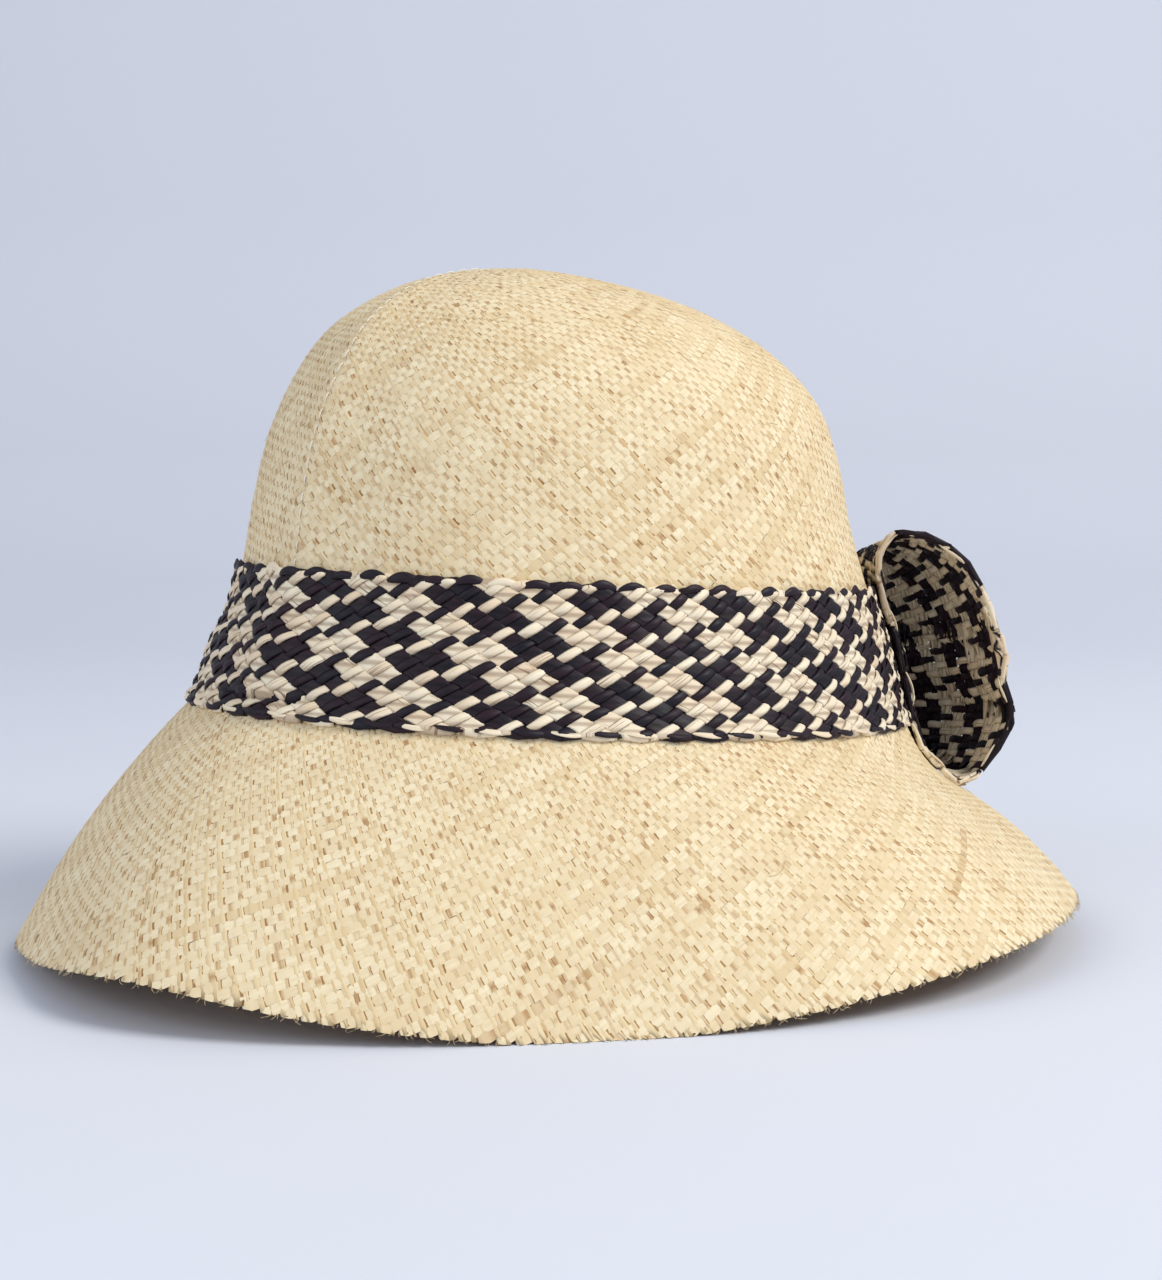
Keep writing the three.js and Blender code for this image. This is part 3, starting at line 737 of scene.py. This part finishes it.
def edge_folds(length, width, folds, side, reach, thick, natural_every, surface):
    """Short arched strips; each starts on top of the last and ends under the next."""
    share = np.linspace(0, 1, 11)
    number = np.arange(folds)[:, None]
    turn = np.linspace(0, 2 * np.pi, 9)[:-1]
    spread = thick * np.sin(np.pi * np.clip(share, 0.03, 0.97)) ** 0.6
    spread = spread * np.exp(rng.normal(0, 0.12, (folds, 1)))
    shift = rng.normal(0, 0.03, (folds, 1))
    x = length / folds * (number + FOLD_START + FOLD_RUN * share + shift)
    bow = reach * np.exp(rng.normal(0, 0.15, (folds, 1))) * np.sin(np.pi * share)
    y = side * (width / 2 - FOLD_INSET + bow)
    lift = FOLD_ARCH * np.sin(np.pi * share**0.75) - FOLD_SINK - FOLD_DIVE * share
    points = surface(
        x[..., None] + 0 * turn,
        y[..., None] + spread[..., None] * np.cos(turn),
        lift[None, :, None] + FOLD_FLATNESS * spread[..., None] * np.sin(turn),
    )
    tone = np.clip(rng.uniform(0.1, 0.7, (folds, 1)) + 0 * share, 0, 1)
    black = (np.arange(folds) % natural_every != 1).astype(int)
    return points, tone, 0.5 * np.abs(2 * share - 1) ** 4 + 0 * tone, black


# %% The band on the crown
BAND_TOP_HEIGHT = 32  # mm above the foot
BAND_BELOW_FOOT = 6  # about how far it reaches down on the brim, mm
BAND_CLEAR = 1.45  # middle of the plait above the hood, mm
EDGES = 1.6  # what both rolled edges add to a plait's width, mm
BAND_FOOT = FOOT + BAND_BELOW_FOOT / FOOT_WIDTH
BAND_START = np.interp(-BAND_TOP_HEIGHT, -CROWN_ROWS[:, 0], np.arange(len(CROWN_ROWS)))
down_hat = np.concatenate([[0], np.cumsum(meridian_step)])
band_ends = np.interp([BAND_FOOT, BAND_START], PLACES, down_hat)
BAND_WIDTH = band_ends[0] - band_ends[1] - EDGES
BAND_MIDDLE = band_ends.mean()
middle_row = np.searchsorted(down_hat, BAND_MIDDLE)
round_band = np.concatenate([[0], np.cumsum(step_around[:, middle_row])])
BAND_LENGTH = round_band[-1]
print("band:", BAND_LENGTH.round(1), "mm long,", BAND_WIDTH.round(1), "mm wide")


def band_surface(x, y, lift):
    """x is the length round the hat, y the height over the band's middle, both along the hood."""
    whole, part = np.divmod(x, BAND_LENGTH)
    angle = np.interp(part, round_band, ANGLES) + whole * 2 * np.pi
    place = np.interp(BAND_MIDDLE - y, down_hat, PLACES)
    return on_hood(angle, place, BAND_CLEAR + lift)


# %% A whole plait: two families and two edges
NARROW_MAKE = (4, 0.4)  # sections at every crossing, and mm of bulge where it turns the edge
BROAD_MAKE = (2.6, 0.8)
EDGE_FOLDS = {"band": 64, "loop": 16}
UPPER_FOLD = (1, 1.5, 1.15, 8)  # side, reach and half width in mm, one natural in so many
LOWER_FOLD = (-1, 1.2, 0.85, 2)


def plait(name, length, width, counts, leans, surface, node):
    """Four pieces; the broad family is the one that stands for the node."""
    size = length, width
    pieces = {
        "narrow_strips": plait_family("narrow", *size, *counts, leans, surface, *NARROW_MAKE),
        "broad_strips": plait_family("broad", *size, *counts[::-1], leans, surface, *BROAD_MAKE),
        "upper_edge": edge_folds(*size, EDGE_FOLDS[name], *UPPER_FOLD, surface),
        "lower_edge": edge_folds(*size, EDGE_FOLDS[name], *LOWER_FOLD, surface),
    }
    for part, strips in pieces.items():
        stands_for = [node] if part == "broad_strips" else []
        mesh = strip_mesh(f"{name}_{part}", *strips)
        place_piece(mesh, [NATURAL, BLACK], "plait", *stands_for)


plait("band", BAND_LENGTH, BAND_WIDTH, (120, 60), BAND_LEANS, band_surface, "hat_band")

# %% [markdown]
# ## The standing loop
# A ring of the same plait, whose strips cross nearly square. Its section is a closed curve
# seen from the side: up the band, free over the top, down and back along the brim. The far
# edge is drawn in, so the ring opens like a bell, and low on the free side it is squashed.

# %% The loop's ring as a grid of points
LOOP_NEAR, LOOP_FAR = 152, 180  # its two edges, degrees round the hat
CLIMB = np.array([10.0, 22, 33])  # heights up the band, mm
CLIMB_CLEAR = 5.1  # the band, two gaps, half the loop's wall and some slack, mm
FREE_OUT = np.array([-6.5, -1, 9, 18, 25, 28.8, 28.6, 30.6, 32])
FREE_UP = np.array([44, 48.5, 46.5, 39.5, 26, 14, 9, 3, -4])
SEAT_SHARE = np.array([0.43, 0.3, 0.16])  # of the way down the brim
SEAT_CLEAR = np.array([2, 1, 1.2])  # mm
HALF_WALL = 1.1  # mm
FAR_REACH, FAR_TALL = 0.5, 0.25  # how much smaller the far edge is
LOOP_MIDDLE_UP = 18
shares = np.linspace(0, 1, 41)
MIDDLE_LINE = len(shares) // 2
ring_t = np.linspace(0, 1, 401)
RING_STEPS = len(ring_t) - 1


def climb_out(angle, height):
    """How far the crown's wall stands out of the foot at a height, plus the clearance."""
    place = np.interp(-height, -CROWN_ROWS[:, 0], np.arange(len(CROWN_ROWS)))
    wall = crown_points(angle, place) - foot_points(angle)
    return (wall * foot_direction(angle)).sum(-1) + CLIMB_CLEAR


def loop_rows(angle, share):
    """The ring's rows (out, up) at one angle, drawn in by the share to the power 1.5."""
    drawn = share**1.5
    reach, tall = 1 - FAR_REACH * drawn, 1 - FAR_TALL * drawn
    climb = climb_out(np.full(3, angle), CLIMB)
    free_out = climb[-1] + (FREE_OUT - climb[-1]) * reach
    free_up = LOOP_MIDDLE_UP + (FREE_UP - LOOP_MIDDLE_UP) * tall
    out, down = (side[0] for side in brim_sections(np.array([angle])))
    seats = SEAT_SHARE * (0.3 + 0.7 * reach)
    here, after = (
        np.stack([np.interp(at, BRIM_SHARES, out), -np.interp(at, BRIM_SHARES, down)], -1)
        for at in (seats, seats + 0.01)
    )
    normal = unit(np.stack([-(after - here)[:, 1], (after - here)[:, 0]], -1))
    seat = here + normal * (SEAT_CLEAR + HALF_WALL)[:, None]
    return np.vstack([np.stack([climb, CLIMB], -1), np.stack([free_out, free_up], -1), seat])


loop_lines = []
for share in shares:
    angle = np.radians(LOOP_NEAR + (LOOP_FAR - LOOP_NEAR) * share)
    rows = loop_rows(angle, share)
    fine = catmull(rows, ring_t * len(rows))
    steps = np.linalg.norm(np.diff(fine, axis=0), axis=1)
    length = np.concatenate([[0], np.cumsum(steps)])
    even = np.stack([np.interp(ring_t * length[-1], length, fine[:, k]) for k in (0, 1)], -1)
    point = foot_points(np.array(angle)) + foot_direction(np.array(angle)) * even[:, :1]
    loop_lines.append(to_rest(point + even[:, 1:] * (0, 0, 1)))
LOOP = np.array(loop_lines)
loop_around = np.gradient(LOOP, axis=1)
loop_around[:, 0] = loop_around[:, -1] = LOOP[:, 1] - LOOP[:, -2]
LOOP_NORMAL = unit(np.cross(np.gradient(LOOP, axis=0), loop_around))
loop_middle = LOOP.reshape(-1, 3).mean(0)
if np.sum(LOOP_NORMAL * (LOOP - loop_middle)) < 0:
    LOOP_NORMAL = -LOOP_NORMAL
near_edge = np.linalg.norm(np.diff(LOOP[0], axis=0), axis=1).sum()
print("loop ring length:", near_edge.round(1), "mm at its near edge")

# %% The plait on the loop
loop_length = np.linalg.norm(np.diff(LOOP, axis=1), axis=2).sum(1).mean()
loop_width = np.linalg.norm(np.diff(LOOP, axis=0), axis=2).sum(0).mean()
LOOP_LEANS = (0.30, 2.9)  # on the loop the narrow strips run nearly straight across
print("loop:", loop_length.round(1), "mm round,", loop_width.round(1), "mm wide")

CRUSH_WAVE, CRUSH_RISE, CRUSH_SPREAD = 5.0, 0.9, 1.1  # the squashed creases: mm, mm, waves
CRUSH_BELOW_TOP = 36  # mm
middle_up = LOOP[MIDDLE_LINE, :, 2]
free_side = np.argmax(middle_up) + np.arange(RING_STEPS // 4)
crushed = np.argmin(np.abs(middle_up[free_side] - middle_up.max() + CRUSH_BELOW_TOP))
CRUSH_TURN = free_side[crushed] / RING_STEPS


def loop_surface(x, y, lift):
    """x is the length round the ring, y the distance from its middle towards its far edge.

    A sine in a bell curve squashes it, and lift goes inward: the good side of the plait
    shows in the mouth of the loop.
    """
    share = y / loop_width + 0.5
    crush = ((x / loop_length) % 1 - CRUSH_TURN) * loop_length / CRUSH_WAVE
    fading = np.exp(-((crush / CRUSH_SPREAD) ** 2))
    lift = lift + CRUSH_RISE * np.sin(2 * np.pi * crush + 2 * share) * fading
    i = np.clip(share, 0, 1) * (len(shares) - 1)
    over = (share - np.clip(share, 0, 1)) * loop_width
    i0 = np.minimum(i.astype(int), len(shares) - 2)
    s = (i - i0)[..., None]
    k = (x / loop_length) % 1 * (len(ring_t) - 1)
    k0 = np.minimum(k.astype(int), len(ring_t) - 2)
    t = (k - k0)[..., None]

    def read(table):
        near = table[i0, k0] * (1 - t) + table[i0, k0 + 1] * t
        far = table[i0 + 1, k0] * (1 - t) + table[i0 + 1, k0 + 1] * t
        return near * (1 - s) + far * s

    side = unit(LOOP[-1, k0] - LOOP[0, k0])
    return read(LOOP) - read(LOOP_NORMAL) * lift[..., None] + side * over[..., None]


plait("loop", loop_length, loop_width - EDGES, (64, 12), LOOP_LEANS, loop_surface, "bow_loop")

# %% The knob of strand ends under the loop
KNOB_LENGTH, KNOB_RADIUS = 5.2, 2.0  # mm
KNOB_UP, KNOB_OUT = 2.4, 0.8  # mm from the loop's lowest point
KNOB_RIDGES, RIDGE = 7, 0.12
BESIDE = 12  # grid points to either side of the lowest
lowest = np.argmin(LOOP[-1, :, 2])
neighbours = LOOP[-1, [lowest - BESIDE, (lowest + BESIDE) % RING_STEPS]]
inner = neighbours[np.argmin(np.hypot(neighbours[:, 0], neighbours[:, 1]))]
share = np.linspace(0, 1, 11)
swell = KNOB_RADIUS * np.sin(np.pi * np.clip(share, 0.03, 0.97)) ** 0.55
turn = np.linspace(0, 2 * np.pi, 2 * KNOB_RIDGES + 1)[:-1]
swell = swell[:, None] * (1 + RIDGE * np.sin(KNOB_RIDGES * turn))
outward_axis = unit(LOOP[-1, lowest] - inner)
flat_axis = unit(np.cross(outward_axis, (0, 0, 1)))
up_axis = np.cross(flat_axis, outward_axis)
knob_start = LOOP[-1, lowest] + up_axis * KNOB_UP + outward_axis * KNOB_OUT
knob = knob_start + outward_axis * (KNOB_LENGTH * share)[:, None, None]
knob = knob + swell[..., None] * np.cos(turn)[:, None] * up_axis
knob = knob + swell[..., None] * np.sin(turn)[:, None] * flat_axis
knob[..., 2] = np.maximum(knob[..., 2], 0.1)
place_piece(strip_mesh("loop_knob", knob[None], 0.5, 0), [BLACK], "plait")

# %% [markdown]
# ## Thread, frayed rim and loose fibres
# A white running stitch holds the fold down the front of the crown. The rim is cut and only
# pressed, so its strands end in a fine fringe, and here and there a fibre has come loose.

# %% Hairs of any length
SKEW = (0.31, 0.87, 0.38)  # any direction that no hair runs along
HAIR_END = 0.6  # radius at the end, of that at the start


def hairs(paths, radius, corners=3):
    """A small ring at every point of each path, square to its run; the radius tapers."""
    run = unit(np.gradient(paths, axis=1))
    side = unit(np.cross(run, SKEW))
    other = np.cross(run, side)
    turn = 2 * np.pi * np.arange(corners) / corners
    taper = radius * np.linspace(1, HAIR_END, paths.shape[1])[None, :, None, None]
    ring = side[:, :, None] * np.cos(turn)[:, None] + other[:, :, None] * np.sin(turn)[:, None]
    points = paths[:, :, None] + ring * taper
    points[..., 2] = np.maximum(points[..., 2], FLOOR_LOWEST)
    return points


# %% The stitches
STITCH_PITCH, STITCH_SHARE = 4.4, 0.64  # mm, and how much of it shows
STITCH_RISE, STITCH_CLEAR, STITCH_RADIUS = 0.36, 0.06, 0.2  # mm
SEAM_TOP = 0.7  # its place near the tip
seam_top, seam_end = np.interp([SEAM_TOP, BAND_START], PLACES, down_hat)
stitch_starts = np.arange(seam_top, seam_end, STITCH_PITCH)
share = np.linspace(0, 1, 7)
stitch_run = stitch_starts[:, None] + STITCH_PITCH * STITCH_SHARE * share
stitch_angle = np.radians(FOLD_ANGLE) + 0.3 / np.maximum(stitch_run, 8) * np.sin(stitch_run / 9)
stitch_place = np.interp(stitch_run, down_hat, PLACES)
stitch_lift = STITCH_RISE * np.sin(np.pi * share) ** 0.4 + STITCH_CLEAR
stitches = hairs(on_hood(stitch_angle, stitch_place, stitch_lift), STITCH_RADIUS, 6)
place_piece(strip_mesh("crown_stitches", stitches, 0.2, 0), [THREAD], "raffia_cloth")

# %% The fringe of the rim
FRINGE, FRINGE_RADIUS = 650, 0.09  # hairs, mm
angle = rng.uniform(0, 2 * np.pi, (FRINGE, 1))
share = np.linspace(0, 1, 4)
reach = rng.uniform(0.3, 1.7, (FRINGE, 1)) * share
start = on_hood(angle, RIM - 0.006, rng.normal(0, 0.08, (FRINGE, 1)))
outside = unit(on_hood(angle, RIM, 0) - on_hood(angle, RIM - 0.02, 0))
along_rim = unit(on_hood(angle + 0.01, RIM, 0) - on_hood(angle, RIM, 0))
sway = rng.normal(0, 0.9, (FRINGE, 1)) * share**1.5
fringe = start + outside * reach[..., None] + along_rim * (reach * sway)[..., None]
fringe_mesh = strip_mesh("rim_fringe", hairs(fringe, FRINGE_RADIUS), 0.4, 0.2)
place_piece(fringe_mesh, [RIB], "raffia_cloth")

# %% Loose fibres
LOOSE, LOOSE_RADIUS = 170, 0.07  # fibres, mm
share = np.linspace(0, 1, 8)
angle = rng.uniform(0, 2 * np.pi, (LOOSE, 1))
place = rng.uniform(2.5, 10.98, (LOOSE, 1))
run = rng.uniform(3, 9, (LOOSE, 1)) * share
heading = rng.uniform(0, 2 * np.pi, (LOOSE, 1)) + rng.normal(0, 0.5, (LOOSE, 1)) * share
mm_round = np.interp(place, PLACES, CIRCUMFERENCE) / (2 * np.pi)
loose_angle = angle + run * np.cos(heading) / mm_round
loose_down = np.interp(place, PLACES, down_hat) + run * np.sin(heading)
loose_place = np.interp(loose_down, down_hat, PLACES)
lift = 0.22 + rng.uniform(0, 0.9, (LOOSE, 1)) * share**2
loose = on_hood(loose_angle, np.minimum(loose_place, RIM), lift)
loose_mesh = strip_mesh("loose_fibres", hairs(loose, LOOSE_RADIUS), 0.5, 0.4)
place_piece(loose_mesh, [RIB], "raffia_cloth")

# %% [markdown]
# ## Floor, light and camera
# A pale sweep of paper under and behind the hat, one big soft window light from the right
# and above, and a weak fill. The camera stands to the hat's left front, low, as far away
# as someone who looks at a hat on a table.

# %% The paper sweep
floor_x = np.linspace(-2.5, 2.5, 3)  # metres
sweep = np.array([  # away from the camera, and up, in metres
    (-3.0, 0.0), (0.9, 0.0), (1.2, 0.02), (1.45, 0.12), (1.6, 0.35), (1.65, 0.8), (1.65, 3.2),
])
CAMERA_AZIMUTH, CAMERA_ELEVATION = np.radians(60), np.radians(5)
away = np.array([-np.sin(CAMERA_AZIMUTH), np.cos(CAMERA_AZIMUTH), 0])
sideways = np.array([np.cos(CAMERA_AZIMUTH), np.sin(CAMERA_AZIMUTH), 0])
paper_points = sideways * floor_x[:, None, None] + away * sweep[:, :1] + sweep[:, 1:] * (0, 0, 1)
paper_index = np.arange(len(floor_x) * len(sweep)).reshape(len(floor_x), len(sweep))
paper_faces = np.stack([
    paper_index[:-1, :-1], paper_index[1:, :-1], paper_index[1:, 1:], paper_index[:-1, 1:],
], -1)
paper_mesh = bpy.data.meshes.new("paper_sweep")
paper_mesh.from_pydata(
    paper_points.reshape(-1, 3).tolist(), [], paper_faces.reshape(-1, 4).tolist()
)
for polygon in paper_mesh.polygons:
    polygon.use_smooth = True
paper = bpy.data.objects.new("paper_sweep", paper_mesh)
bpy.context.scene.collection.objects.link(paper)
paper_finish = bpy.data.materials.new("paper")
paper_finish.use_nodes = True
paper_shader = paper_finish.node_tree.nodes["Principled BSDF"]
paper_shader.inputs["Base Color"].default_value = (0.72, 0.75, 0.82, 1)
paper_shader.inputs["Roughness"].default_value = 0.9
paper_mesh.materials.append(paper_finish)


# %% Lights
LOOK_AT = Vector((0, 0, 0.09))


def soft_light(name, place, size, power, colour):
    """A square area light that looks at the hat's middle."""
    data = bpy.data.lights.new(name, "AREA")
    data.size, data.energy, data.color = size, power, colour
    lamp = bpy.data.objects.new(name, data)
    lamp.location = place
    lamp.rotation_mode = "QUATERNION"
    lamp.rotation_quaternion = (LOOK_AT - Vector(place)).to_track_quat("-Z", "Y")
    bpy.context.scene.collection.objects.link(lamp)
    return lamp


soft_light("window", (1.3, 0.9, 1.5), 1.0, 31, (1.0, 0.97, 0.92))
soft_light("room", (0.2, -1.8, 0.9), 1.4, 9, (0.95, 0.97, 1.0))
world = bpy.data.worlds.new("room_air")
world.use_nodes = True
air = world.node_tree.nodes["Background"]
air.inputs["Color"].default_value = (0.78, 0.82, 0.92, 1)
air.inputs["Strength"].default_value = 0.62
bpy.context.scene.world = world

# %% Camera
CAMERA_DISTANCE, CAMERA_LENS = 0.66, 66  # metres, mm
camera_data = bpy.data.cameras.new("camera")
camera_data.lens = CAMERA_LENS
camera = bpy.data.objects.new("camera", camera_data)
bpy.context.scene.collection.objects.link(camera)
bpy.context.scene.camera = camera
target = Vector((0.004, 0.008, 0.080))
back = Vector((
    np.sin(CAMERA_AZIMUTH) * np.cos(CAMERA_ELEVATION),
    -np.cos(CAMERA_AZIMUTH) * np.cos(CAMERA_ELEVATION),
    np.sin(CAMERA_ELEVATION),
))
camera.location = target + back * CAMERA_DISTANCE
camera.rotation_mode = "QUATERNION"
camera.rotation_quaternion = (-back).to_track_quat("-Z", "Y")
camera_data.clip_start, camera_data.clip_end = 0.01, 20
bpy.context.scene.view_settings.view_transform = "Standard"
